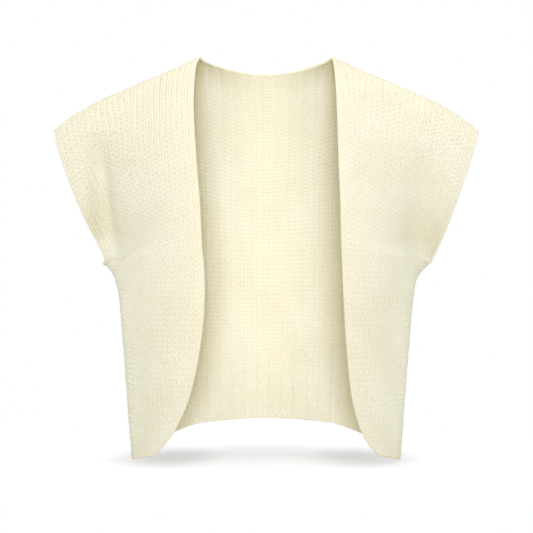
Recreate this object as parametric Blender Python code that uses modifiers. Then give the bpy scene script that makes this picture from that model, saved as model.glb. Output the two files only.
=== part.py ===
# Open-fronted knitted shrug, standing as if worn: a back and two rounded fronts whose outer ends
# run out into short cap sleeves. Metres, +Z up, +X to the viewer's right, +Y away from the viewer.
# The origin is midway between the two high shoulder points, where the wearer carries it.
import math

import bmesh
import bpy
import numpy as np

MM = 0.001
MIRROR = (-1.0, 1.0, 1.0)
CREAM = (0.86, 0.82, 0.68, 1.0)

# Cloth
THICKNESS = 3.0
SEAM_GAP = 0.3
SEAM_OVERRUN = 1.5

# How much of a section's crown lifts its inner and its outer handle
INNER_CROWN = -0.25
OUTER_CROWN = 1.5

# Handle length of the back's sections between the middle and the high shoulder line
NECK_PULL = 0.34

# Block that trims each panel at the plane of the shoulder and side seams, in metres
TRIM_WIDTH = 0.8
TRIM_DEPTH = 0.4
TRIM_HEIGHT = 0.8
TRIM_MIDDLE_Z = -0.3

# Mesh columns across a front, across the back beside the neck, and across half of the neck
FRONT_COLUMNS = 16
NECK_COLUMNS = 5

# Sleeve openings: ellipses seen edge on from the front. Hollow is how far the lower edge curves in.
SLEEVE_TOP_X = 288
SLEEVE_TOP_Z = -101
SLEEVE_BOTTOM_X = {"left": 221.5, "right": 224.5}
SLEEVE_BOTTOM_Z = -280
SLEEVE_HOLLOW = {"left": 15, "right": 0}
SLEEVE_HOLLOW_POWER = 4
SLEEVE_HALF_DEPTH = 48

# Sections of a front from the shoulder seam to the hem, in millimetres and degrees.
# run: distance down the front edge; rows: mesh rows to the next section; turns: how far the section
# has turned back at each end; pulls: handle lengths as a share of the section; crown: upward bow.
FRONT_FIELDS = ("run", "rows", "left_x", "right_x", "edge_y", "edge_z",
                "edge_turn", "side_turn", "edge_pull", "side_pull", "crown")
FRONT_SECTIONS = (
    (0, 2, 91, 91, 0, 0, 0, 0, 0.34, 0.18, 16),
    (39, 3, 95, 93, -36, -14, 4, 10, 0.34, 0.24, 13),
    (102, 3, 97, 95, -72, -66, 5, 16, 0.36, 0.32, 9),
    (175, 3, 93, 96, -97, -135, 6, 22, 0.38, 0.34, 6),
    (247, 2, 87, 98, -112, -205, 9, 34, 0.40, 0.36, 2),
    (304, 1, 84, 99, -118, -262, 13, 62, 0.40, 0.40, 0),
    (327, 1, 82, 100, -118, -285, 15, 78, 0.40, 0.42, 0),
    (350, 3, 81, 101, -118, -308, 16, 90, 0.40, 0.42, 0),
    (432, 3, 87, 106, -114, -390, 18, 90, 0.38, 0.42, 0),
    (512, 2, 106, 116, -108, -468, 22, 90, 0.36, 0.42, 0),
    (560, 2, 127, 130, -97, -508, 30, 90, 0.34, 0.40, -2),
    (600, 0, 149, 150, -83, -532, 42, 90, 0.32, 0.38, -3),
)

# Sections of the back: the middle line, then the line down from a high shoulder point.
BACK_FIELDS = ("run", "rows", "middle_y", "middle_z", "line_x", "line_y", "line_z",
               "neck_turn", "line_turn", "side_turn", "line_pull", "side_pull", "crown")
BACK_SECTIONS = (
    (0, 2, 55, -19, 91, 0, 0, 72, 0, 0, 0.34, 0.18, 16),
    (39, 3, 67, -45, 95, 33, -13, 48, 3, 10, 0.34, 0.24, 13),
    (102, 3, 80, -92, 97, 64, -62, 20, 4, 16, 0.36, 0.32, 9),
    (175, 3, 90, -150, 98, 85, -131, 8, 6, 22, 0.38, 0.34, 6),
    (247, 2, 96, -210, 98, 92, -200, 8, 8, 34, 0.40, 0.36, 2),
    (304, 1, 98, -262, 98, 94, -258, 10, 10, 62, 0.40, 0.40, 0),
    (327, 1, 98, -285, 98, 93, -282, 12, 12, 78, 0.40, 0.42, 0),
    (350, 3, 98, -308, 98, 92, -307, 13, 13, 90, 0.40, 0.42, 0),
    (432, 3, 95, -382, 98, 87, -385, 15, 15, 90, 0.38, 0.42, 0),
    (512, 2, 92, -446, 96, 83, -450, 17, 17, 90, 0.36, 0.42, 0),
    (560, 2, 92, -476, 95, 82, -480, 18, 18, 90, 0.36, 0.42, 0),
    (600, 0, 92, -497, 94, 81, -503, 19, 19, 90, 0.36, 0.42, -5),
)

# Outer ends of the sections: round the sleeve opening first, then down the side seam.
SLEEVE_FIELDS = ("run", "angle")
SLEEVE_SECTIONS = ((0, 0), (39, 38), (102, 76), (175, 112), (247, 148), (304, 180))
SIDE_FIELDS = ("run", "left_side_x", "right_side_x", "side_z")
SIDE_SECTIONS = (
    (304, 221.5, 224.5, -280),
    (327, 208.5, 208.5, -295),
    (350, 202, 202, -311),
    (432, 194, 194, -390),
    (512, 188, 188, -468),
    (560, 185, 185, -510),
    (600, 182, 182, -544),
)

# Soft folds as seen from the front: troughs go inwards along Y by their depth, ridges outwards.
FOLD_FIELDS = ("piece", "top_x", "top_z", "foot_x", "foot_z", "half_width", "depth")
FOLDS = (
    ("left_front", -214, -106, -204, -280, 20, 10),
    ("left_front", -186, -250, -172, -560, 27, 12),
    ("left_front", -140, -140, -136, -500, 30, -4),
    ("right_front", 210, -120, 190, -320, 16, 9),
    ("right_front", 160, -300, 180, -520, 18, 10),
    ("right_front", 136, -160, 142, -420, 28, -4),
    ("back", -210, -130, -190, -270, 15, 6),
    ("back", 208, -140, 190, -275, 17, 5),
    ("back", -120, -300, -104, -500, 20, -3),
    ("back", 46, -330, 40, -500, 13, 3),
    ("back", 140, -320, 128, -500, 22, 4),
)
FOLD_FADE = 0.35
SEAM_CALM = 30

# These change steadily from the shoulder seam on; every other value starts level there, so that
# the cloth goes over the shoulder without an edge.
STEADY_FIELDS = ("edge_y", "line_y", "middle_y", "middle_z", "neck_turn", "angle",
                 "left_side_x", "right_side_x", "side_z")


def clear_scene():
    for item in list(bpy.data.objects):
        bpy.data.objects.remove(item, do_unlink=True)


def curve_through(knots, values, starts_level):
    # A smooth curve through the sections' values, as a function of the run.
    knots = np.array(knots, dtype=float)
    values = np.array(values, dtype=float)
    gaps = np.diff(knots)
    chords = np.diff(values) / gaps
    slopes = np.empty(len(knots))
    slopes[1:-1] = (chords[:-1] * gaps[1:] + chords[1:] * gaps[:-1]) / (gaps[:-1] + gaps[1:])
    slopes[0] = 0.0 if starts_level else chords[0]
    slopes[-1] = chords[-1]

    def at(run):
        i = int(np.clip(np.searchsorted(knots, run, side="right") - 1, 0, len(gaps) - 1))
        t = (run - knots[i]) / gaps[i]
        start = (1 + 2 * t) * (1 - t) ** 2 * values[i] + t * (1 - t) ** 2 * gaps[i] * slopes[i]
        end = t * t * (3 - 2 * t) * values[i + 1] + t * t * (t - 1) * gaps[i] * slopes[i + 1]
        return start + end

    return at


def curves_of(fields, sections):
    columns = list(zip(*sections))
    return {field: curve_through(columns[0], column, field not in STEADY_FIELDS)
            for field, column in zip(fields[1:], columns[1:]) if field != "rows"}


def runs_of(sections):
    runs = []
    for section, following in zip(sections, sections[1:]):
        rows = section[1]
        runs += [section[0] + (following[0] - section[0]) * k / rows for k in range(rows)]
    runs.append(sections[-1][0])
    return runs


def outer_end(run, toward, hand):
    # toward is -1 on a front and +1 on the back, which each pass the seam a little; hand is the
    # viewer's left or right, and both are worked out on the right.
    last_sleeve_run = SLEEVE_SECTIONS[-1][0]
    seam_y = -toward * SEAM_OVERRUN
    if run > last_sleeve_run:
        side = curves_of(SIDE_FIELDS, SIDE_SECTIONS)
        return np.array((side[hand + "_side_x"](run), seam_y, side["side_z"](run)))
    angle = math.radians(curves_of(SLEEVE_FIELDS, SLEEVE_SECTIONS)["angle"](run))
    top = np.array((SLEEVE_TOP_X, 0.0, SLEEVE_TOP_Z))
    bottom = np.array((SLEEVE_BOTTOM_X[hand], 0.0, SLEEVE_BOTTOM_Z))
    point = (top + bottom) / 2 + (top - bottom) / 2 * math.cos(angle)
    lowered = ((1 - math.cos(angle)) / 2) ** SLEEVE_HOLLOW_POWER
    point[0] -= SLEEVE_HOLLOW[hand] * lowered * math.sin(angle)
    point[1] = seam_y + toward * (SLEEVE_HALF_DEPTH + SEAM_OVERRUN) * math.sin(angle)
    return point


def arc_points(start, start_turn, start_pull, end, end_turn, end_pull, toward, crown, count,
               start_rise=1.0):
    # Points along a section that leaves its start at one turn and reaches its end at another.
    # A start_rise of 0 lets it leave level.
    length = np.linalg.norm(end - start)
    near, far = math.radians(start_turn), math.radians(end_turn)
    rise = end[2] - start[2]
    leave = np.array((math.cos(near) * length, -toward * math.sin(near) * length, rise)) * start_pull
    arrive = np.array((math.cos(far) * length, -toward * math.sin(far) * length, rise)) * end_pull
    leave[2] = leave[2] * start_rise + crown * INNER_CROWN
    arrive[2] -= crown * OUTER_CROWN
    handle, other = start + leave, end - arrive
    t = np.linspace(0.0, 1.0, count + 1)[:, None]
    return ((1 - t) ** 3 * start + 3 * (1 - t) ** 2 * t * handle
            + 3 * (1 - t) * t * t * other + t ** 3 * end)


def front_grid(hand):
    at = curves_of(FRONT_FIELDS, FRONT_SECTIONS)
    grid = []
    for run in runs_of(FRONT_SECTIONS):
        value = {field: curve(run) for field, curve in at.items()}
        start = np.array((value[hand + "_x"], value["edge_y"], value["edge_z"]))
        if run == 0:
            start[1] = SEAM_OVERRUN
        grid.append(arc_points(start, value["edge_turn"], value["edge_pull"],
                               outer_end(run, -1, hand), value["side_turn"], value["side_pull"],
                               -1, value["crown"], FRONT_COLUMNS))
    return np.array(grid)


def back_grid():
    at = curves_of(BACK_FIELDS, BACK_SECTIONS)
    grid = []
    for run in runs_of(BACK_SECTIONS):
        value = {field: curve(run) for field, curve in at.items()}
        middle = np.array((0.0, value["middle_y"], value["middle_z"]))
        line = np.array((value["line_x"], value["line_y"], value["line_z"]))
        if run == 0:
            line[1] = -SEAM_OVERRUN
        neck = arc_points(middle, 0, NECK_PULL, line, value["neck_turn"], NECK_PULL, 1, 0,
                          NECK_COLUMNS, start_rise=0.0)
        halves = []
        for hand in ("left", "right"):
            side = arc_points(line, value["line_turn"], value["line_pull"], outer_end(run, 1, hand),
                              value["side_turn"], value["side_pull"], 1, value["crown"], FRONT_COLUMNS)
            halves.append(np.concatenate((neck[:-1], side)))
        grid.append(np.concatenate((halves[0][:0:-1] * MIRROR, halves[1])))
    return np.array(grid)


def outward_normals(grid):
    # The back faces away from the viewer and the fronts face the viewer.
    down = np.gradient(grid, axis=0)
    across = np.gradient(grid, axis=1)
    normals = np.cross(down, across)
    normals /= np.linalg.norm(normals, axis=2, keepdims=True)
    return normals * np.sign(normals[..., 1].mean() * grid[..., 1].mean())


def fold_depths(grid, name):
    depths = np.zeros(grid.shape[:2])
    for row in FOLDS:
        fold = dict(zip(FOLD_FIELDS, row))
        if fold["piece"] != name:
            continue
        top = np.array((fold["top_x"], fold["top_z"]), dtype=float)
        along = np.array((fold["foot_x"], fold["foot_z"])) - top
        offset = grid[..., (0, 2)] - top
        share = np.clip(offset @ along / (along @ along), 0.0, 1.0)
        away = np.linalg.norm(offset - share[..., None] * along, axis=2)
        fade = np.clip(np.minimum(share, 1 - share) / FOLD_FADE, 0.0, 1.0)
        depths += fold["depth"] * np.exp(-(away / fold["half_width"]) ** 2) * np.sin(fade * math.pi / 2)
    calm = np.clip(np.abs(grid[..., 1]) / SEAM_CALM, 0.0, 1.0)
    return depths * calm * calm * (3 - 2 * calm)


def knitted_cloth(name):
    material = bpy.data.materials.new(name + "_knit")
    material.use_nodes = True
    shader = material.node_tree.nodes["Principled BSDF"]
    shader.inputs["Base Color"].default_value = CREAM
    shader.inputs["Roughness"].default_value = 0.9
    shader.inputs["Metallic"].default_value = 0.0
    return material


def seam_cutter(name, toward, collection):
    # A block over everything past the seam plane, less half of the seam's gap.
    bpy.ops.mesh.primitive_cube_add(size=1.0)
    cutter = bpy.context.object
    cutter.name = name
    cutter.dimensions = (TRIM_WIDTH, TRIM_DEPTH, TRIM_HEIGHT)
    cutter.location = (0.0, -toward * (TRIM_DEPTH - SEAM_GAP * MM) / 2, TRIM_MIDDLE_Z)
    cutter.hide_render = True
    cutter.display_type = "WIRE"
    for holder in cutter.users_collection:
        holder.objects.unlink(cutter)
    collection.objects.link(cutter)
    return cutter


def make_panel(name, grid, cutter, collection):
    grid = grid.copy()
    grid[..., 1] -= fold_depths(grid, name) * np.sign(grid[..., 1].mean())
    normals = outward_normals(grid)
    rows, columns = grid.shape[:2]
    shape = bmesh.new()
    points = [[shape.verts.new(point * MM) for point in row] for row in grid]
    for i in range(rows - 1):
        for j in range(columns - 1):
            shape.faces.new((points[i][j], points[i + 1][j], points[i + 1][j + 1], points[i][j + 1]))
    face = next(iter(shape.faces))
    shape.normal_update()
    if face.normal.dot(normals[0, 0]) < 0:
        bmesh.ops.reverse_faces(shape, faces=shape.faces[:])
    mesh = bpy.data.meshes.new(name)
    shape.to_mesh(mesh)
    shape.free()
    mesh.materials.append(knitted_cloth(name))
    mesh.shade_smooth()
    panel = bpy.data.objects.new(name, mesh)
    collection.objects.link(panel)

    wall = panel.modifiers.new("cloth wall", "SOLIDIFY")
    wall.thickness = THICKNESS * MM
    wall.offset = -1.0
    trim = panel.modifiers.new("seam trim", "BOOLEAN")
    trim.operation = "DIFFERENCE"
    trim.solver = "EXACT"
    trim.object = cutter
    return panel


def main():
    clear_scene()
    shrug = bpy.data.collections.new("knitted_shrug")
    cutters = bpy.data.collections.new("cutters")
    for collection in (shrug, cutters):
        bpy.context.scene.collection.children.link(collection)
    behind = seam_cutter("behind_seam", -1, cutters)
    ahead = seam_cutter("ahead_of_seam", 1, cutters)
    make_panel("left_front", front_grid("left") * MIRROR, behind, shrug)
    make_panel("right_front", front_grid("right"), behind, shrug)
    make_panel("back", back_grid(), ahead, shrug)


main()
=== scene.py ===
# Cream knitted shrug with an open front, rounded front corners and cap sleeves, in metres, +Z up.
import math

import bpy
import numpy as np
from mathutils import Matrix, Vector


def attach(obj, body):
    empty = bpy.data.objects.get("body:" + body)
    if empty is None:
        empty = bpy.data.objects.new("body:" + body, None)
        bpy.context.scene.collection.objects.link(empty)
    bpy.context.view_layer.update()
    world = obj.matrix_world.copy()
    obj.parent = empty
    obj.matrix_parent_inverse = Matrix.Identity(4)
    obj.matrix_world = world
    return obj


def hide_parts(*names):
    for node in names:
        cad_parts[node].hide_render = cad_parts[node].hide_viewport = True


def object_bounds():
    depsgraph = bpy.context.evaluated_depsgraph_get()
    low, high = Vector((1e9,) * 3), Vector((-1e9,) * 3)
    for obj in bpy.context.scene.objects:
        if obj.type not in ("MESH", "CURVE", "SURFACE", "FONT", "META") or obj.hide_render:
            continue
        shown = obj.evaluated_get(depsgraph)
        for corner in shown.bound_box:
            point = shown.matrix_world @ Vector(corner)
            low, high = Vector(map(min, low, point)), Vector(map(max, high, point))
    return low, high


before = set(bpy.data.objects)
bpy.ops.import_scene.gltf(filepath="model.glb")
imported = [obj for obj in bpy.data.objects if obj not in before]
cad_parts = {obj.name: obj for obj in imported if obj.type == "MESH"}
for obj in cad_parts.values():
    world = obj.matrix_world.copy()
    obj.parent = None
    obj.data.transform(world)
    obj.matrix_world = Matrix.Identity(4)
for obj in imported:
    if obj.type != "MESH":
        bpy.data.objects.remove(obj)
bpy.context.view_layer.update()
mm = 0.001
tiny = 1e-9              # keeps a division off zero
lastCell = 1.001         # stops a reading just short of the last row or column
print("frame loaded:", sorted(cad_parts))


# Shape of the cloth, in millimetres and degrees. run is the distance down a front edge.
sleeveOpening = {
    "topX": 288, "topZ": -101,
    "leftBottomX": 221.5, "rightBottomX": 224.5, "bottomZ": -280,
    "leftHollow": 15, "rightHollow": 0,     # how far the lower edge curves in
    "hollowPower": 4,       # how close to its foot it curves
    "halfDepth": 48,
    "point": 7,             # how close to its foot the opening narrows
    "fields": ("run", "angle"),
    "sections": ((0, 0), (39, 38), (102, 76), (175, 112), (247, 148), (304, 180)),
}
sideSeam = {
    "fields": ("run", "leftSideX", "rightSideX", "sideZ"),
    "sections": (
        (304, 221.5, 224.5, -280),
        (327, 208.5, 208.5, -295),
        (350, 202, 202, -311),
        (432, 194, 194, -390),
        (512, 188, 188, -468),
        (560, 185, 185, -510),
        (600, 182, 182, -544),
    ),
}
frontCut = {
    "fields": ("run", "leftX", "rightX", "edgeY", "edgeZ",
               "edgeTurn", "sideTurn", "edgePull", "sidePull", "crown"),
    "sections": (
        (0, 91, 91, 0, 0, 0, 0, 0.34, 0.18, 16),
        (39, 95, 93, -36, -14, 4, 10, 0.34, 0.24, 13),
        (102, 97, 95, -72, -66, 5, 16, 0.36, 0.32, 9),
        (175, 93, 96, -97, -135, 6, 22, 0.38, 0.34, 6),
        (247, 87, 98, -112, -205, 9, 34, 0.40, 0.36, 2),
        (304, 84, 99, -118, -262, 13, 62, 0.40, 0.40, 0),
        (327, 82, 100, -118, -285, 15, 78, 0.40, 0.42, 0),
        (350, 81, 101, -118, -308, 16, 90, 0.40, 0.42, 0),
        (432, 87, 106, -114, -390, 18, 90, 0.38, 0.42, 0),
        (512, 106, 116, -108, -468, 22, 90, 0.36, 0.42, 0),
        (560, 127, 130, -97, -508, 30, 90, 0.34, 0.40, -2),
        (600, 149, 150, -83, -532, 42, 90, 0.32, 0.38, -3),
    ),
    "denseColumns": 120,
}
backCut = {
    "fields": ("run", "middleY", "middleZ", "lineX", "lineY", "lineZ",
               "neckTurn", "lineTurn", "sideTurn", "linePull", "sidePull", "crown"),
    "sections": (
        (0, 55, -19, 91, 0, 0, 72, 0, 0, 0.34, 0.18, 16),
        (39, 67, -45, 95, 33, -13, 48, 3, 10, 0.34, 0.24, 13),
        (102, 80, -92, 97, 64, -62, 20, 4, 16, 0.36, 0.32, 9),
        (175, 90, -150, 98, 85, -131, 8, 6, 22, 0.38, 0.34, 6),
        (247, 96, -210, 98, 92, -200, 8, 8, 34, 0.40, 0.36, 2),
        (304, 98, -262, 98, 94, -258, 10, 10, 62, 0.40, 0.40, 0),
        (327, 98, -285, 98, 93, -282, 12, 12, 78, 0.40, 0.42, 0),
        (350, 98, -308, 98, 92, -307, 13, 13, 90, 0.40, 0.42, 0),
        (432, 95, -382, 98, 87, -385, 15, 15, 90, 0.38, 0.42, 0),
        (512, 92, -446, 96, 83, -450, 17, 17, 90, 0.36, 0.42, 0),
        (560, 92, -476, 95, 82, -480, 18, 18, 90, 0.36, 0.42, 0),
        (600, 92, -497, 94, 81, -503, 19, 19, 90, 0.36, 0.42, -5),
    ),
    "neckPull": 0.34,
    "denseColumns": 120,
    "neckColumns": 36,
}
flip = np.array((-1.0, 1.0, 1.0))
steadyFields = ("edgeY", "lineY", "middleY", "middleZ", "neckTurn", "angle",
                "leftSideX", "rightSideX", "sideZ")

# Folds as seen from the front: ends, half width, and depth, which is negative on a ridge.
folds = {
    "fields": ("panel", "topX", "topZ", "footX", "footZ", "halfWidth", "depth"),
    "leftFront": (
        (-214, -106, -204, -280, 20, 9),
        (-229, -104, -214, -292, 14, 14),
        (-219, -122, -200, -288, 7, 5),
        (-186, -250, -172, -560, 27, 12),
        (-140, -140, -136, -500, 30, -4),
    ),
    "rightFront": (
        (215, -118, 196, -320, 18, 9),
        (160, -300, 180, -520, 18, 10),
        (136, -160, 142, -420, 28, -4),
    ),
    "back": (
        (-210, -130, -190, -270, 15, 6),
        (208, -140, 190, -275, 17, 5),
        (-120, -300, -104, -500, 20, -3),
        (46, -330, 40, -500, 13, 3),
        (140, -320, 128, -500, 22, 4),
    ),
    "fade": 0.35,            # share of a fold's length over which each end dies out
    "seamCalm": 30,          # millimetres from a seam over which folds settle
}

cloth = {
    "seamInset": 0.15,       # half of the gap between two panels
    "runStep": 2.0,          # spacing of the dense rows
    "lastRun": 600,
    "underarmRun": 304,
    "startCrown": 0.25,      # how much of a row's crown bends it near its start
    "endCrown": 1.5,         # and near its end
}


def curveThrough(knots, values, startsLevel):
    knots = np.array(knots, dtype=float)
    values = np.array(values, dtype=float)
    gaps = np.diff(knots)
    chords = np.diff(values) / gaps
    slopes = np.empty(len(knots))
    slopes[1:-1] = (chords[:-1] * gaps[1:] + chords[1:] * gaps[:-1]) / (gaps[:-1] + gaps[1:])
    slopes[0] = 0.0 if startsLevel else chords[0]
    slopes[-1] = chords[-1]

    def at(runs):
        i = np.clip(np.searchsorted(knots, runs, side="right") - 1, 0, len(gaps) - 1)
        t = (runs - knots[i]) / gaps[i]
        start = (1 + 2 * t) * (1 - t) ** 2 * values[i] + t * (1 - t) ** 2 * gaps[i] * slopes[i]
        end = t * t * (3 - 2 * t) * values[i + 1] + t * t * (t - 1) * gaps[i] * slopes[i + 1]
        return start + end

    return at


def readCurves(part, runs):
    columns = list(zip(*part["sections"]))
    return {field: curveThrough(columns[0], column, field not in steadyFields)(runs)
            for field, column in zip(part["fields"][1:], columns[1:])}


def outerEnds(runs, toward, hand):
    # toward is -1 on a front and +1 on the back; hand is left or right as the viewer sees it
    inset = toward * cloth["seamInset"]
    opening = sleeveOpening
    angle = np.radians(readCurves(opening, np.minimum(runs, cloth["underarmRun"]))["angle"])
    top = np.array((opening["topX"], 0.0, opening["topZ"]))
    bottom = np.array((opening[hand + "BottomX"], 0.0, opening["bottomZ"]))
    ends = (top + bottom) / 2 + (top - bottom) / 2 * np.cos(angle)[:, None]
    low = (1 - np.cos(angle)) / 2
    ends[:, 0] -= opening[hand + "Hollow"] * low ** opening["hollowPower"] * np.sin(angle)
    narrowing = 1 - low ** opening["point"]
    ends[:, 1] = inset + toward * opening["halfDepth"] * np.sin(angle) * narrowing
    side = readCurves(sideSeam, np.maximum(runs, cloth["underarmRun"]))
    below = runs > cloth["underarmRun"]
    ends[below, 0] = side[hand + "SideX"][below]
    ends[below, 1] = inset
    ends[below, 2] = side["sideZ"][below]
    return ends


def arcRows(start, startTurn, startPull, end, endTurn, endPull, toward, crown, count,
            startRise=1.0):
    # every row's points, from its start to its end, as one cubic curve a row
    length = np.linalg.norm(end - start, axis=1)
    near = np.radians(startTurn)
    far = np.radians(endTurn)
    rise = end[:, 2] - start[:, 2]
    leave = np.stack((np.cos(near) * length, -toward * np.sin(near) * length, rise), 1) * startPull
    arrive = np.stack((np.cos(far) * length, -toward * np.sin(far) * length, rise), 1) * endPull
    leave[:, 2] = leave[:, 2] * startRise - crown * cloth["startCrown"]
    arrive[:, 2] -= crown * cloth["endCrown"]
    handle = (start + leave)[:, None, :]
    other = (end - arrive)[:, None, :]
    t = np.linspace(0.0, 1.0, count + 1)[None, :, None]
    return ((1 - t) ** 3 * start[:, None, :] + 3 * (1 - t) ** 2 * t * handle
            + 3 * (1 - t) * t * t * other + t ** 3 * end[:, None, :])


def denseRuns():
    return np.linspace(0.0, cloth["lastRun"], int(cloth["lastRun"] / cloth["runStep"]) + 1)


def frontRows(hand):
    runs = denseRuns()
    value = readCurves(frontCut, runs)
    start = np.stack((value[hand + "X"], value["edgeY"], value["edgeZ"]), 1)
    start[:, 1] = np.minimum(start[:, 1], -cloth["seamInset"])
    ends = outerEnds(runs, -1, hand)
    rows = arcRows(start, value["edgeTurn"], value["edgePull"][:, None], ends,
                   value["sideTurn"], value["sidePull"][:, None], -1, value["crown"],
                   frontCut["denseColumns"])
    return rows[:, ::-1]     # outer end first


def backRows():
    runs = denseRuns()
    value = readCurves(backCut, runs)
    middle = np.stack((np.zeros(len(runs)), value["middleY"], value["middleZ"]), 1)
    line = np.stack((value["lineX"], value["lineY"], value["lineZ"]), 1)
    line[:, 1] = np.maximum(line[:, 1], cloth["seamInset"])
    level = np.zeros(len(runs))
    neck = arcRows(middle, level, backCut["neckPull"], line, value["neckTurn"], backCut["neckPull"],
                   1, level, backCut["neckColumns"], startRise=0.0)
    halves = []
    for hand in ("left", "right"):
        ends = outerEnds(runs, 1, hand)
        side = arcRows(line, value["lineTurn"], value["linePull"][:, None], ends,
                       value["sideTurn"], value["sidePull"][:, None], 1, value["crown"],
                       backCut["denseColumns"])
        halves.append(np.concatenate((neck[:, :-1], side), 1))
    return np.concatenate((halves[0][:, :0:-1] * flip, halves[1]), 1)


class ClothSurface:
    # The outer face of one panel, read at any run and any distance along its section.
    def __init__(self, name, rows, foldRows):
        self.name = name
        self.points = rows.copy()
        self.points[..., 1] -= self.foldDepths(foldRows) * np.sign(rows[..., 1].mean())
        self.normals = self.facing()
        steps = np.linalg.norm(np.diff(self.points, axis=1), axis=2)
        self.arcs = np.concatenate((np.zeros((len(rows), 1)), np.cumsum(steps, axis=1)), 1)

    def facing(self):
        down = np.gradient(self.points, axis=0)
        across = np.gradient(self.points, axis=1)
        normals = np.cross(down, across)
        normals /= np.linalg.norm(normals, axis=2, keepdims=True) + tiny
        return normals * np.sign(normals[..., 1].mean() * self.points[..., 1].mean())

    def foldDepths(self, foldRows):
        depths = np.zeros(self.points.shape[:2])
        for topX, topZ, footX, footZ, halfWidth, depth in foldRows:
            top = np.array((topX, topZ), dtype=float)
            along = np.array((footX, footZ)) - top
            offset = self.points[..., (0, 2)] - top
            share = np.clip(offset @ along / (along @ along), 0.0, 1.0)
            away = np.linalg.norm(offset - share[..., None] * along, axis=2)
            fade = np.clip(np.minimum(share, 1 - share) / folds["fade"], 0.0, 1.0)
            depths += depth * np.exp(-(away / halfWidth) ** 2) * np.sin(fade * math.pi / 2)
        calm = np.clip(np.abs(self.points[..., 1]) / folds["seamCalm"], 0.0, 1.0)
        return depths * calm * calm * (3 - 2 * calm)

    def rowAt(self, run):
        place = np.clip(run / cloth["runStep"], 0, len(self.points) - lastCell)
        i = int(place)
        return self.arcs[i] * (1 - (place - i)) + self.arcs[i + 1] * (place - i)

    def columnsAt(self, run, distances):
        arcs = self.rowAt(run)
        return np.interp(distances, arcs, np.arange(len(arcs)))

    def read(self, field, runs, columns):
        r = np.clip(runs / cloth["runStep"], 0, field.shape[0] - lastCell)
        c = np.clip(columns, 0, field.shape[1] - lastCell)
        i = r.astype(int)
        j = c.astype(int)
        fr = (r - i)[..., None]
        fc = (c - j)[..., None]
        upper = field[i, j] * (1 - fc) + field[i, j + 1] * fc
        lower = field[i + 1, j] * (1 - fc) + field[i + 1, j + 1] * fc
        return upper * (1 - fr) + lower * fr

    def at(self, runs, columns, depth):
        # points that lie depth under the outer face, with the face's normals
        points = self.read(self.points, runs, columns)
        normals = self.read(self.normals, runs, columns)
        normals /= np.linalg.norm(normals, axis=-1, keepdims=True)
        depth = np.asarray(depth)
        return points - normals * (depth[..., None] if depth.ndim else depth), normals

    def area(self):
        down = np.diff(self.points, axis=0)[:, :-1]
        across = np.diff(self.points, axis=1)[:-1]
        return float(np.linalg.norm(np.cross(down, across), axis=2).sum()) * mm * mm


surfaces = {
    "leftFront": ClothSurface("left_front", frontRows("left") * flip, folds["leftFront"]),
    "rightFront": ClothSurface("right_front", frontRows("right"), folds["rightFront"]),
    "back": ClothSurface("back", backRows(), folds["back"]),
}
for surface in surfaces.values():
    print("cloth surface", surface.name, round(surface.area(), 4), "square metres")


def meshFrom(name, points, faces, uvs=None):
    # faces is one array of quads; points are in millimetres
    mesh = bpy.data.meshes.new(name)
    mesh.vertices.add(len(points))
    mesh.vertices.foreach_set("co", (np.asarray(points) * mm).astype(np.float32).ravel())
    mesh.loops.add(faces.size)
    mesh.loops.foreach_set("vertex_index", faces.astype(np.int32).ravel())
    mesh.polygons.add(len(faces))
    mesh.polygons.foreach_set("loop_start", np.arange(0, faces.size, 4, dtype=np.int32))
    if uvs is not None:
        layer = mesh.uv_layers.new(name="alongYarn")
        layer.uv.foreach_set("vector", uvs.astype(np.float32).ravel())
    mesh.update(calc_edges=True)
    mesh.validate()
    mesh.shade_smooth()
    piece = bpy.data.objects.new(name, mesh)
    bpy.context.scene.collection.objects.link(piece)
    return piece


def lengthsAlong(path):
    steps = np.linalg.norm(np.diff(path, axis=0), axis=1)
    return np.concatenate(((0.0,), np.cumsum(steps)))


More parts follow.
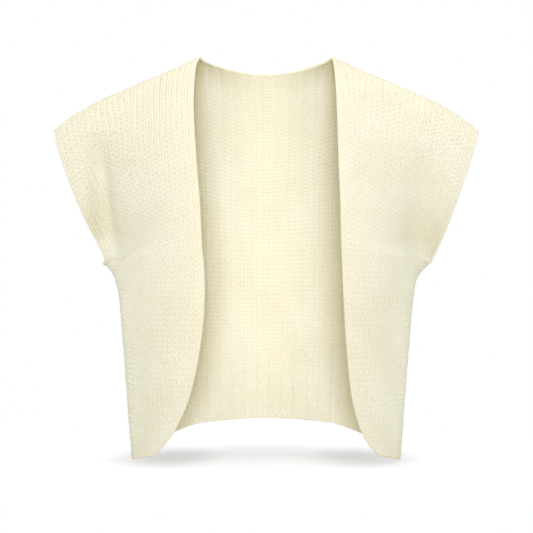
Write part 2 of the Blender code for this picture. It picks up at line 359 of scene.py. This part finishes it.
class TubeBundle:
    # Many round yarns gathered into one mesh. fuzz leans their shading towards the cloth's.
    def __init__(self, sides, fuzz=0.0):
        self.sides = sides
        self.fuzz = fuzz
        self.shading = []
        self.points = []
        self.faces = []
        self.uvs = []
        self.count = 0

    def add(self, path, normals, radii):
        ahead = np.roll(path, -1, axis=0) - np.roll(path, 1, axis=0)
        ahead[0] = path[1] - path[0]
        ahead[-1] = path[-1] - path[-2]
        ahead /= np.linalg.norm(ahead, axis=1, keepdims=True) + tiny
        outward = normals - (normals * ahead).sum(1, keepdims=True) * ahead
        outward /= np.linalg.norm(outward, axis=1, keepdims=True) + tiny
        sideways = np.cross(ahead, outward)
        angles = 2 * math.pi * np.arange(self.sides) / self.sides
        ring = (np.cos(angles)[None, :, None] * outward[:, None, :]
                + np.sin(angles)[None, :, None] * sideways[:, None, :])
        radii = np.broadcast_to(radii, (len(path),))
        self.points.append((path[:, None, :] + ring * radii[:, None, None]).reshape(-1, 3))
        lengths = lengthsAlong(path)
        i = np.arange(len(path) - 1)[:, None]
        k = np.arange(self.sides)[None, :]
        nextRing = i + 1
        nextSide = (k + 1) % self.sides
        s = self.sides
        here = i * s
        there = nextRing * s
        quads = np.stack((here + k, here + nextSide, there + nextSide, there + k), 2)
        self.faces.append(quads.reshape(-1, 4) + self.count)
        outerSide = np.sign(np.cos(angles + math.pi / s))[k][..., None]
        near = self.fuzz * outerSide * normals[i]
        far = self.fuzz * outerSide * normals[nextRing]
        shading = np.stack((ring[i, k] + near, ring[i, nextSide] + near,
                            ring[nextRing, nextSide] + far, ring[nextRing, k] + far), 2)
        self.shading.append(shading.reshape(-1, 3))
        a = lengths[i] + 0 * k
        b = lengths[nextRing] + 0 * k
        low = k / s + 0.0 * i
        high = (k + 1) / s + 0.0 * i
        corners = np.stack((a, low, a, high, b, high, b, low), 2)
        self.uvs.append(corners.reshape(-1, 2))
        if s == 4:     # a stitch yarn's two ends are closed by one quad each
            first = np.array(((3, 2, 1, 0),)) + self.count
            last = np.array(((0, 1, 2, 3),)) + self.count + (len(path) - 1) * s
            self.faces.append(np.concatenate((first, last)))
            self.uvs.append(np.zeros((8, 2)))
            self.shading.append(np.repeat((-ahead[0], ahead[-1]), 4, axis=0))
        self.count += len(path) * s

    def build(self, name):
        piece = meshFrom(name, np.concatenate(self.points), np.concatenate(self.faces),
                         np.concatenate(self.uvs))
        shading = np.concatenate(self.shading)
        shading /= np.linalg.norm(shading, axis=1, keepdims=True)
        piece.data.normals_split_custom_set(shading)
        return piece


# Stitches. A course is one yarn that runs across a panel in loops, as in stocking stitch.
stitch = {
    "yarn": 0.158,           # yarn radius, of a stitch's width
    "leastYarn": 1.1,        # and its limits in millimetres
    "mostYarn": 1.35,
    "sides": 4,
    "fuzz": 0.82,            # softens the shading of each loop, as loose fibres do
    "uneven": 0.06,          # how much a stitch's yarn varies
    "wander": 0.55,          # how far stitches stray from their rows, in millimetres
    "swayAlong": 23.0,       # millimetres for one radian of two slow waves, along a course
    "swayDown": 31.0,        # and down the panel
    "swellAlong": 17.0,
    "swellDown": 19.0,
    "strayAcross": (2.1, 1.3, 1.0),     # pace, bend and the bend's own pace
    "strayDown": (1.7, 1.1, 1.3),
    "seamFlatness": 0.55,    # how much flatter the stitches lie beside the shoulder seam
    "seamReach": 45,
    "middleDepth": 1.45,     # the yarn's middle, under the cloth's outer face
    "edgeStitches": 5,       # that take up what is left over at a rounded edge
    "fewest": 3,
}
rng = np.random.default_rng(7)


def stray(wave, other, rates):
    pace, bend, bendPace = rates
    return stitch["wander"] * np.sin(wave * pace + bend * np.sin(other * bendPace))


def coursePath(surface, run, courseGap, marks, places, ridges, vary, knit):
    # places: how far along the course the stitches numbered in marks begin
    # ridges: how much deeper each stitch lies under the outer face
    samples = knit["samples"]
    count = len(ridges)
    pitch = places[-1] / count
    t = np.arange(count * samples + 1) / samples
    turn = 2 * math.pi * t
    across = t + knit["lean"] * np.sin(2 * turn)
    distances = np.interp(across, marks, places)
    number = np.clip(t.astype(int), 0, count - 1)
    size = 1 + vary[number]
    rise = 0.5 * knit["loopHeight"] * courseGap * np.cos(turn)
    sway = distances / stitch["swayAlong"] + run / stitch["swayDown"]
    swell = distances / stitch["swellAlong"] - run / stitch["swellDown"]
    distances = distances + stray(sway, swell, stitch["strayAcross"])
    rise = rise + stray(swell, sway, stitch["strayDown"])
    ridge = np.interp(t - 0.5, np.arange(count), ridges)
    nearSeam = math.exp(-(run / stitch["seamReach"]) ** 2)
    relief = knit["relief"] * (1 - stitch["seamFlatness"] * nearSeam)
    depth = stitch["middleDepth"] + relief * np.cos(2 * turn) * size + ridge
    runs = np.clip(run + rise, 0, cloth["lastRun"])
    columns = surface.columnsAt(run, np.clip(distances, 0.0, places[-1]))
    path, normals = surface.at(runs, columns, depth)
    radius = np.clip(pitch * stitch["yarn"], stitch["leastYarn"], stitch["mostYarn"])
    return path, normals, radius * size


# relief is how far the legs and heads stand from the yarn's middle, in millimetres. lean is
# how far a leg leans, of a stitch's width. loopHeight is in courses.
frontKnit = {
    "courses": 84, "wales": 24,
    "relief": 0.95, "lean": 0.245, "loopHeight": 1.62, "samples": 12,
}
backKnit = {
    "courses": 96, "sideWales": 24, "neckWales": 11,
    "relief": 0.7, "lean": 0.15, "loopHeight": 2.0, "samples": 9,
    "ridge": 0.85,           # how far wales lie in and out by turns, in millimetres
    "bands": ("shoulder", "chest", "waist", "hem"),
}


def lowerWales(length, pitch):
    # stitches on a course below the underarm, how many keep their width, and how far they reach
    count = max(stitch["fewest"], round(length / pitch))
    steady = max(0, count - stitch["edgeStitches"])
    return count, steady, steady * pitch


def knitFront(surface):
    bundle = TubeBundle(stitch["sides"], stitch["fuzz"])
    gap = cloth["lastRun"] / frontKnit["courses"]
    pitch = surface.rowAt(cloth["underarmRun"])[-1] / frontKnit["wales"]
    for course in range(frontKnit["courses"]):
        run = gap * (course + 0.5)
        length = surface.rowAt(run)[-1]
        if run <= cloth["underarmRun"]:
            count = frontKnit["wales"]
            marks, places = (0, count), (0.0, length)
        else:
            count, steady, reach = lowerWales(length, pitch)
            marks, places = (0, steady, count), (0.0, reach, length)
        vary = rng.normal(0.0, stitch["uneven"], count)
        level = np.zeros(count)
        bundle.add(*coursePath(surface, run, gap, marks, places, level, vary, frontKnit))
    return bundle.build(surface.name + "_stitches")


def knitBack(surface):
    # the middle keeps its wales from neck to hem; each side fans out like a front
    gap = cloth["lastRun"] / backKnit["courses"]
    inBand = backKnit["courses"] // len(backKnit["bands"])
    side = backCut["denseColumns"]
    neck = backKnit["neckWales"]
    pitch = surface.rowAt(cloth["underarmRun"])[side] / backKnit["sideWales"]
    pieces = []
    for band, bandName in enumerate(backKnit["bands"]):
        bundle = TubeBundle(stitch["sides"], stitch["fuzz"])
        for course in range(band * inBand, (band + 1) * inBand):
            run = gap * (course + 0.5)
            arcs = surface.rowAt(run)
            wales = backKnit["sideWales"]
            steady, reach = wales - 1, arcs[side] * (wales - 1) / wales
            if run > cloth["underarmRun"]:
                wales, steady, reach = lowerWales(arcs[side], pitch)
            count = 2 * (wales + neck)
            marks = (0, wales - steady, wales, wales + neck,
                     count - wales, count - wales + steady, count)
            places = (0.0, arcs[side] - reach, arcs[side], arcs[side + backCut["neckColumns"]],
                      arcs[-1 - side], arcs[-1 - side] + reach, arcs[-1])
            isDeeper = (np.arange(count) - wales - neck) % 2 == 0
            ridges = np.where(isDeeper, 1.0, -1.0) * backKnit["ridge"]
            vary = rng.normal(0.0, stitch["uneven"], count)
            bundle.add(*coursePath(surface, run, gap, marks, places, ridges, vary, backKnit))
        pieces.append(bundle.build("back_stitches_" + bandName))
    return pieces


# Backing: a sheet in the middle of the cloth, which closes the gaps between the yarns; its deeper
# tone is painted shade in those gaps.
backing = {"depth": 1.2, "thickness": 0.5, "rowStep": 4, "columnStep": 3}


def makeBacking(surface):
    rows = surface.points.shape[0]
    columns = surface.points.shape[1]
    r = np.unique(np.append(np.arange(0, rows, backing["rowStep"]), rows - 1))
    c = np.unique(np.append(np.arange(0, columns, backing["columnStep"]), columns - 1))
    outer = surface.points[r][:, c] - surface.normals[r][:, c] * backing["depth"]
    inner = outer - surface.normals[r][:, c] * backing["thickness"]
    high, wide = len(r), len(c)
    index = np.arange(high * wide).reshape(high, wide)
    quads = np.stack((index[:-1, :-1], index[1:, :-1], index[1:, 1:], index[:-1, 1:]), 2)
    quads = quads.reshape(-1, 4)
    rim = np.concatenate((index[0, :-1], index[:-1, -1], index[-1, :0:-1], index[:0:-1, 0]))
    after = np.roll(rim, -1)
    size = high * wide
    band = np.stack((rim, after, after + size, rim + size), 1)
    a = outer[1, 0] - outer[0, 0]
    b = outer[0, 1] - outer[0, 0]
    if np.cross(a, b) @ surface.normals[0, 0] < 0:
        quads = quads[:, ::-1]
        band = band[:, ::-1]
    faces = np.concatenate((quads, quads[:, ::-1] + size, band))
    points = np.concatenate((outer.reshape(-1, 3), inner.reshape(-1, 3)))
    return meshFrom(surface.name + "_cloth", points, faces)


# Edges: a cord of two yarns finishes every open edge.
edging = {"yarn": 1.15, "twist": 0.95, "pitch": 7.0, "step": 1.6, "sides": 6, "depth": 1.5}


def evenly(path, normals, step):
    lengths = lengthsAlong(path)
    count = int(lengths[-1] / step)
    at = np.linspace(0, lengths[-1], count + 1)
    even = np.stack([np.interp(at, lengths, path[:, k]) for k in range(3)], 1)
    facing = np.stack([np.interp(at, lengths, normals[:, k]) for k in range(3)], 1)
    facing /= np.linalg.norm(facing, axis=1, keepdims=True)
    return even, facing, at


def addCord(bundle, path, normals):
    path, normals, at = evenly(path, normals, edging["step"])
    ahead = np.gradient(path, axis=0)
    ahead /= np.linalg.norm(ahead, axis=1, keepdims=True)
    sideways = np.cross(ahead, normals)
    for ply in range(2):
        phase = 2 * math.pi * at / edging["pitch"] + math.pi * ply
        strand = path + edging["twist"] * (np.cos(phase)[:, None] * normals
                                           + np.sin(phase)[:, None] * sideways)
        bundle.add(strand, normals, edging["yarn"])


def edgePath(surface, rowSlice, columnSlice):
    points = surface.points[rowSlice, columnSlice].reshape(-1, 3)
    normals = surface.normals[rowSlice, columnSlice].reshape(-1, 3)
    return points - normals * edging["depth"], normals


def edgeFront(surface):
    bundle = TubeBundle(edging["sides"])
    underarm = int(cloth["underarmRun"] / cloth["runStep"]) + 1
    down, downNormals = edgePath(surface, slice(None), -1)
    hem, hemNormals = edgePath(surface, -1, slice(-2, None, -1))
    addCord(bundle, np.concatenate((down, hem)), np.concatenate((downNormals, hemNormals)))
    addCord(bundle, *edgePath(surface, slice(0, underarm), 0))
    return bundle.build(surface.name + "_edging")


def edgeBack(surface):
    bundle = TubeBundle(edging["sides"])
    underarm = int(cloth["underarmRun"] / cloth["runStep"]) + 1
    side = backCut["denseColumns"]
    addCord(bundle, *edgePath(surface, 0, slice(side, -side)))
    addCord(bundle, *edgePath(surface, -1, slice(None)))
    addCord(bundle, *edgePath(surface, slice(0, underarm), 0))
    addCord(bundle, *edgePath(surface, slice(0, underarm), -1))
    return bundle.build(surface.name + "_edging")


# Seams: a finer yarn overcasts the shoulder and side seams.
seams = {"yarn": 0.6, "coil": 1.3, "pitch": 4.6, "step": 0.8, "sides": 5, "depth": 1.7}


def addOvercast(bundle, path, normals):
    path, normals, at = evenly(path, normals, seams["step"])
    ahead = np.gradient(path, axis=0)
    ahead /= np.linalg.norm(ahead, axis=1, keepdims=True)
    sideways = np.cross(ahead, normals)
    phase = 2 * math.pi * at / seams["pitch"]
    coil = path + seams["coil"] * (np.cos(phase)[:, None] * normals
                                   + np.sin(phase)[:, None] * sideways)
    bundle.add(coil, normals, seams["yarn"])


def sewSeams(surface):
    bundle = TubeBundle(seams["sides"])
    underarm = int(cloth["underarmRun"] / cloth["runStep"])
    shoulder = (0, slice(None))
    side = (slice(underarm, None), 0)
    for place in (shoulder, side):
        normals = surface.normals[place]
        addOvercast(bundle, surface.points[place] - normals * seams["depth"], normals)
    return bundle.build(surface.name + "_seams")


# Sequins: tiny cupped clear discs with a hole, knitted in here and there with the yarn.
sequins = {
    "radius": 1.3, "hole": 0.3, "cup": 0.25, "thickness": 0.14, "sides": 8,
    "frontCount": 130, "backCount": 240, "proud": 0.5, "tilt": 0.2,
    "keepFromEdge": 9, "keepFromSeam": 14,
}


def sewSequins(surface, count):
    runs = rng.uniform(sequins["keepFromSeam"], cloth["lastRun"] - sequins["keepFromSeam"], count)
    points = []
    faces = []
    sides = sequins["sides"]
    angles = 2 * math.pi * np.arange(sides) / sides
    for number, run in enumerate(runs):
        length = surface.rowAt(run)[-1]
        distance = rng.uniform(sequins["keepFromEdge"], length - sequins["keepFromEdge"])
        column = surface.columnsAt(run, np.array((distance,)))
        centre, normal = surface.at(np.array((run,)), column, -sequins["proud"])
        normal = normal[0] + rng.normal(0.0, sequins["tilt"], 3)
        normal /= np.linalg.norm(normal)
        across = np.cross(normal, (0.0, 0.0, 1.0))
        across /= np.linalg.norm(across)
        up = np.cross(normal, across)
        spoke = np.cos(angles)[:, None] * across + np.sin(angles)[:, None] * up
        rim = centre[0] + spoke * sequins["radius"] + normal * sequins["cup"]
        eye = centre[0] + spoke * sequins["hole"]
        back = normal * sequins["thickness"]
        points.append(np.concatenate((rim, eye, eye - back, rim - back)))
        k = np.arange(sides)
        after = (k + 1) % sides
        base = number * 4 * sides
        for ring in range(4):
            here = base + ring * sides
            there = base + (ring + 1) % 4 * sides
            faces.append(np.stack((here + k, here + after, there + after, there + k), 1))
    return meshFrom(surface.name + "_sequins", np.concatenate(points), np.concatenate(faces))


class Wire:
    # A socket that can stand in a sum.
    def __init__(self, graph, socket):
        self.graph = graph
        self.socket = socket

    def output(self, name):
        return Wire(self.graph, self.socket.node.outputs[name])

    def math(self, operation, first, second):
        return self.graph.node("ShaderNodeMath", {"operation": operation}, {0: first, 1: second})

    def __add__(self, other):
        return self.math("ADD", self, other)

    def __radd__(self, other):
        return self.math("ADD", other, self)

    def __sub__(self, other):
        return self.math("SUBTRACT", self, other)

    def __rsub__(self, other):
        return self.math("SUBTRACT", other, self)

    def __mul__(self, other):
        return self.math("MULTIPLY", self, other)

    def __rmul__(self, other):
        return self.math("MULTIPLY", other, self)


class Finish:
    # One material and its nodes.
    def __init__(self, name):
        self.material = bpy.data.materials.new(name)
        self.material.use_nodes = True
        self.tree = self.material.node_tree
        self.tree.nodes.clear()

    def node(self, kind, settings=None, sockets=None, output=0):
        made = self.tree.nodes.new(kind)
        for key, value in (settings or {}).items():
            setattr(made, key, value)
        for key, value in (sockets or {}).items():
            if isinstance(value, Wire):
                self.tree.links.new(value.socket, made.inputs[key])
            else:
                made.inputs[key].default_value = value
        if made.outputs:
            return Wire(self, made.outputs[output])

    def noise(self, place, scale, detail):
        sockets = {"Vector": place, "Scale": scale, "Detail": detail}
        return self.node("ShaderNodeTexNoise", {}, sockets)

    def blend(self, factor, first, second):
        sockets = {0: factor, 6: first, 7: second}
        return self.node("ShaderNodeMix", {"data_type": "RGBA"}, sockets, 2)

    def bump(self, height, strength, distance):
        sockets = {"Height": height, "Strength": strength, "Distance": distance}
        return self.node("ShaderNodeBump", {}, sockets)

    def finish(self, sockets):
        shader = self.node("ShaderNodeBsdfPrincipled", {}, sockets)
        self.node("ShaderNodeOutputMaterial", {}, {"Surface": shader})
        return self.material


creamWool = {
    "pale": (0.950, 0.893, 0.652, 1.0),
    "deep": (0.820, 0.740, 0.460, 1.0),
    "driftScale": 14.0,      # broad, middle and finest changes of tone
    "fleckScale": 320.0,
    "fibreScale": 2600.0,
    "driftShare": 0.45,
    "fleckShare": 0.4,
    "fibreShare": 0.15,
    "contrast": 1.6,
    "level": 0.55,           # taken off the tone, so more makes the wool paler
    "yarnRoughness": 0.82,
    "fleckRoughness": 0.12,
    "clothRoughness": 0.88,
    "sheen": 0.06,
    "sheenRoughness": 0.5,
    "plies": 2,
    "plyPitch": 5.5,         # millimetres of yarn for one turn of the plies
    "yarnBump": {"ply": 0.35, "fibre": 0.8, "fleck": 0.3, "strength": 0.5, "distance": 0.0003},
    "clothBump": {"fibre": 0.5, "strength": 0.6, "distance": 0.0006},
    "backingPaintedShade": 0.5,      # how much deeper the backing is, painted shade in the gaps between the yarns
    "edgingTone": 0.05,
    "seamTone": 0.1,
}


def woolFinish(name, depthOfTone):
    wool = creamWool
    finish = Finish(name)
    place = finish.node("ShaderNodeTexCoord", {}, {}, "Object")
    drift = finish.noise(place, wool["driftScale"], 3.0)
    fleck = finish.noise(place, wool["fleckScale"], 2.0)
    fibre = finish.noise(place, wool["fibreScale"], 2.0)
    tone = drift * wool["driftShare"] + fleck * wool["fleckShare"] + fibre * wool["fibreShare"]
    tone = tone * wool["contrast"] - wool["level"] + depthOfTone
    colour = finish.blend(tone, wool["pale"], wool["deep"])
    return finish, colour, fleck, fibre


def yarnFinish(name, depthOfTone=0.0):
    bump = creamWool["yarnBump"]
    finish, colour, fleck, fibre = woolFinish(name, depthOfTone)
    spun = finish.node("ShaderNodeUVMap", {"uv_map": "alongYarn"})
    parts = finish.node("ShaderNodeSeparateXYZ", {}, {0: spun})
    along = parts.output("X") * (2 * math.pi / creamWool["plyPitch"])
    turn = along + parts.output("Y") * (2 * math.pi * creamWool["plies"])
    ply = finish.node("ShaderNodeMath", {"operation": "SINE"}, {0: turn})
    height = ply * bump["ply"] + fibre * bump["fibre"] + fleck * bump["fleck"]
    return finish.finish({
        "Base Color": colour,
        "Roughness": creamWool["yarnRoughness"] + fleck * creamWool["fleckRoughness"],
        "Sheen Weight": creamWool["sheen"],
        "Sheen Roughness": creamWool["sheenRoughness"],
        "Normal": finish.bump(height, bump["strength"], bump["distance"]),
    })


def backingFinish(name):
    bump = creamWool["clothBump"]
    # the backing's deeper tone is painted shade for the gaps between the yarns
    finish, colour, fleck, fibre = woolFinish(name, creamWool["backingPaintedShade"])
    height = fleck + fibre * bump["fibre"]
    return finish.finish({
        "Base Color": colour,
        "Roughness": creamWool["clothRoughness"],
        "Sheen Weight": creamWool["sheen"],
        "Normal": finish.bump(height, bump["strength"], bump["distance"]),
    })


pearlSequin = {
    "clear": (0.95, 0.91, 0.73, 1.0),
    "rose": (0.95, 0.88, 0.73, 1.0),
    "green": (0.91, 0.92, 0.75, 1.0),
    "tintScale": 90.0,
    "otherScale": 61.0,
    "contrast": 3.0,         # how sharply one tint gives way to the next
    "rosyFrom": 1.2,
    "greenFrom": 1.3,
    "roughness": 0.25,
    "tintRoughness": 0.1,
    "coat": 0.8,
}


def sequinFinish():
    pearl = pearlSequin
    finish = Finish("pearl_sequin")
    place = finish.node("ShaderNodeTexCoord", {}, {}, "Object")
    tint = finish.noise(place, pearl["tintScale"], 0.0)
    other = finish.noise(place, pearl["otherScale"], 0.0)
    rosyShare = tint * pearl["contrast"] - pearl["rosyFrom"]
    greenShare = other * pearl["contrast"] - pearl["greenFrom"]
    rosy = finish.blend(rosyShare, pearl["clear"], pearl["rose"])
    return finish.finish({
        "Base Color": finish.blend(greenShare, rosy, pearl["green"]),
        "Roughness": pearl["roughness"] + tint * pearl["tintRoughness"],
        "Coat Weight": pearl["coat"],
    })


yarnMaterial = yarnFinish("cream_yarn")
edgingMaterial = yarnFinish("cream_edging_yarn", creamWool["edgingTone"])
seamMaterial = yarnFinish("cream_seam_yarn", creamWool["seamTone"])
backingMaterial = backingFinish("cream_backing_painted_shade")
sequinMaterial = sequinFinish()


def dress(piece, material):
    piece.data.materials.clear()
    piece.data.materials.append(material)
    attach(piece, "root")
    return piece


for key, surface in surfaces.items():
    isBack = key == "back"
    stitches = knitBack(surface) if isBack else [knitFront(surface)]
    edge = edgeBack(surface) if isBack else edgeFront(surface)
    shine = sewSequins(surface, sequins["backCount"] if isBack else sequins["frontCount"])
    extras = stitches + [edge, shine]
    for piece in stitches:
        dress(piece, yarnMaterial)
    dress(edge, edgingMaterial)
    dress(shine, sequinMaterial)
    if not isBack:
        extras.append(dress(sewSeams(surface), seamMaterial))
    base = dress(makeBacking(surface), backingMaterial)
    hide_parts(surface.name)
    triangles = {piece.name: sum(len(face.vertices) - 2 for face in piece.data.polygons)
                 for piece in extras + [base]}
    print(surface.name, "made, in triangles:", triangles)


# Floor and studio
studio = {
    "floorDrop": 0.0015,
    "floorHalfWidth": 0.55,
    "floorHalfDepth": 0.50,
    "floorSides": 96,
    "floorColour": (0.36, 0.38, 0.40, 1.0),
    "floorGlow": 0.74,       # brings the lit paper up to white
    "shades": (              # painted shadow under the garment, taken off the floor's glow: x, y, half width, half depth, loss
        (-0.138, 0.03, 0.115, 0.20, 0.26),
        (0.138, 0.03, 0.115, 0.20, 0.24),
        (0.0, 0.10, 0.25, 0.24, 0.18),
    ),
    "floorMiddle": 0.02,     # the middle faces' share of the floor's width
    "skyStrength": 0.50,
    "skyColour": (1.0, 0.85, 0.37, 1.0),
}


def floorFinish():
    finish = Finish("studio_floor")
    place = finish.node("ShaderNodeTexCoord", {}, {}, "Object")
    glow = studio["floorGlow"]
    # each spot lowers the floor's glow softly, a painted shadow under the garment
    for x, y, halfWidth, halfDepth, loss in studio["shades"]:
        spot = finish.node("ShaderNodeVectorMath", {"operation": "SUBTRACT"}, {
            0: place,
            1: (x, y, 0.0),
        })
        spot = finish.node("ShaderNodeVectorMath", {"operation": "DIVIDE"}, {
            0: spot,
            1: (halfWidth, halfDepth, 1.0),
        })
        away = finish.node("ShaderNodeVectorMath", {"operation": "LENGTH"}, {0: spot}, "Value")
        shade = finish.node("ShaderNodeMapRange", {"interpolation_type": "SMOOTHERSTEP"}, {
            "Value": away,
            "To Min": loss,
            "To Max": 0.0,
        })
        glow = glow - shade
    lit = finish.node("ShaderNodeCombineColor", {}, {0: glow, 1: glow, 2: glow})
    return finish.finish({
        "Base Color": studio["floorColour"],
        "Roughness": 1.0,
        "Specular IOR Level": 0.0,
        "Emission Color": lit,
        "Emission Strength": 1.0,
    })


def makeFloor(lowest):
    # one ring of faces round a small middle, which is closed by rows of faces across it
    turn = 2 * math.pi * np.arange(studio["floorSides"]) / studio["floorSides"]
    rings = []
    for share in (studio["floorMiddle"], 1.0):
        across = share * studio["floorHalfWidth"] / mm * np.cos(turn)
        along = share * studio["floorHalfDepth"] / mm * np.sin(turn)
        rings.append(np.stack((across, along, np.zeros(len(turn))), 1))
    k = np.arange(len(turn))
    after = (k + 1) % len(turn)
    around = np.stack((k, k + len(turn), after + len(turn), after), 1)
    half = len(turn) // 2
    i = np.arange(half - 1)
    centre = np.stack((i, i + 1, 2 * half - 2 - i, (2 * half - 1 - i) % (2 * half)), 1)
    floor = meshFrom("studio_floor", np.concatenate(rings), np.concatenate((around, centre)))
    floor.location.z = lowest - studio["floorDrop"]
    floor.visible_diffuse = False     # the paper throws no light up at the garment
    floor.data.materials.append(floorFinish())


# Lamps, with their widths in metres and powers in watts. A paired lamp stands on both sides.
softboxes = {
    "key_softbox": {
        "place": (0.0, -9.0, 0.2), "size": 3.0, "power": 428.0, "colour": (0.92, 1.09, 1.74),
    },
    "top_softbox": {
        "place": (0.2, -0.1, 2.1), "size": 2.4, "power": 27.0, "colour": (0.94, 1.02, 1.35),
    },
    "back_softbox": {
        "place": (0.0, 4.2, -0.1), "size": 2.4, "power": 80.0, "colour": (0.90, 1.08, 1.75),
    },
}
pairedSoftboxes = {
    "side_softbox": {
        "place": (3.0, -0.6, -0.1), "size": 1.2, "power": 10.0, "colour": (0.30, 0.55, 1.1),
    },
    "rear_softbox": {
        "place": (2.6, 1.3, -0.1), "size": 1.2, "power": 17.0, "colour": (0.78, 1.0, 1.7),
    },
}
hollowFill = {               # a narrow tall beam into the hollow
    "place": (0.0, -2.4, -0.22),
    "halfWidth": 0.10,
    "halfHeight": 0.44,
    "power": 64.0,
    "colour": (1.0, 0.97, 0.80),
    "radius": 0.08,
    "angle": 90,
    "blend": 1.0,
}


def addLamp(name, kind, lamp):
    light = bpy.data.lights.new(name, kind)
    light.energy = lamp["power"]
    light.color = lamp["colour"]
    holder = bpy.data.objects.new(name, light)
    bpy.context.scene.collection.objects.link(holder)
    return light, holder


def addSoftbox(name, lamp, target, toward=1):
    light, box = addLamp(name, "AREA", lamp)
    light.shape = "DISK"
    light.size = lamp["size"]
    place = np.array(lamp["place"]) * (toward, 1, 1)
    direction = np.array(target) - place
    box.location = place
    box.rotation_euler = (
        math.atan2(math.hypot(direction[0], direction[1]), -direction[2]),
        0.0,
        math.atan2(-direction[0], direction[1]),
    )


def addBeam(name, lamp, target):
    # the lamp's own scale makes its round beam tall and narrow
    light, beam = addLamp(name, "SPOT", lamp)
    light.shadow_soft_size = lamp["radius"]
    light.spot_size = math.radians(lamp["angle"])
    light.spot_blend = lamp["blend"]
    distance = target[1] - lamp["place"][1]
    beam.location = lamp["place"]
    beam.rotation_euler = (math.pi / 2, 0.0, 0.0)
    beam.scale = (lamp["halfWidth"] / distance, lamp["halfHeight"] / distance, 1.0)


camera = {
    "distance": 2.300,
    "height": -0.285,
    "across": 0.0007,
    "focalPixels": 1691.0,
    "imagePixels": 533.0,
    "sensor": 36.0,
    "farthest": 100.0,
}


def makeCamera():
    data = bpy.data.cameras.new("photo_camera")
    data.sensor_width = camera["sensor"]
    data.lens = camera["sensor"] * camera["focalPixels"] / camera["imagePixels"]
    data.clip_end = camera["farthest"]
    made = bpy.data.objects.new("photo_camera", data)
    bpy.context.scene.collection.objects.link(made)
    made.location = (camera["across"], -camera["distance"], camera["height"])
    made.rotation_euler = (math.pi / 2, 0.0, 0.0)
    bpy.context.scene.camera = made


def makeSky():
    # the paper backdrop reads as white, and lights the garment less than it shows
    world = bpy.data.worlds.new("studio_sky")
    world.use_nodes = True
    nodes = world.node_tree.nodes
    links = world.node_tree.links
    seen = nodes.new("ShaderNodeLightPath")
    strength = nodes.new("ShaderNodeMapRange")
    strength.inputs["To Min"].default_value = studio["skyStrength"]
    strength.inputs["To Max"].default_value = 1.0
    links.new(seen.outputs["Is Camera Ray"], strength.inputs["Value"])
    tint = nodes.new("ShaderNodeMix")
    tint.data_type = "RGBA"
    tint.inputs[6].default_value = studio["skyColour"]
    tint.inputs[7].default_value = (1.0, 1.0, 1.0, 1.0)
    links.new(seen.outputs["Is Camera Ray"], tint.inputs[0])
    links.new(tint.outputs[2], nodes["Background"].inputs["Color"])
    links.new(strength.outputs["Result"], nodes["Background"].inputs["Strength"])
    bpy.context.scene.world = world


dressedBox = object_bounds()
makeFloor(dressedBox[0].z)
target = (0.0, 0.0, camera["height"])
for name, lamp in softboxes.items():
    addSoftbox(name, lamp, target)
for toward in (-1, 1):
    for name, lamp in pairedSoftboxes.items():
        addSoftbox(name, lamp, target, toward)
addBeam("hollow_fill", hollowFill, target)
makeSky()
makeCamera()
bpy.context.scene.view_settings.view_transform = "Standard"
print("studio ready")
